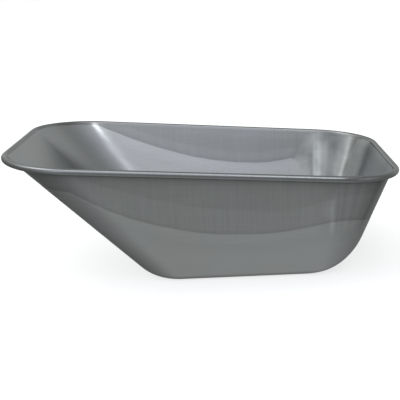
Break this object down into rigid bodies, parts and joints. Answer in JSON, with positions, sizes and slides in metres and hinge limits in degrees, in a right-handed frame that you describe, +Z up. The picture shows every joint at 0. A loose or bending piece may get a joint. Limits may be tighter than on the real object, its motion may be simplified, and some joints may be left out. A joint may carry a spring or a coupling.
{
  "type": "wheelbarrow tray",
  "caption": "Galvanised steel wheelbarrow tray: a deep-drawn pan with a long sloping nose, flared walls, large rounded corners and a rolled edge.",
  "frame": {"origin": "middle of the overall length and width, on the plane of the flat base", "axes": "+Z up, square to the base; +X from the sloping nose towards the handle end; +Y completes the right-handed frame"},
  "size_m": [0.9197, 0.6468, 0.3253],
  "materials": {
    "galvanised_sheet": "satin galvanised",
    "steel_wire": "plain drawn wire"
  },
  "bodies": {
    "root": {"tray_shell": "galvanised_sheet", "rim_wire": "steel_wire"}
  },
  "joints": []
}
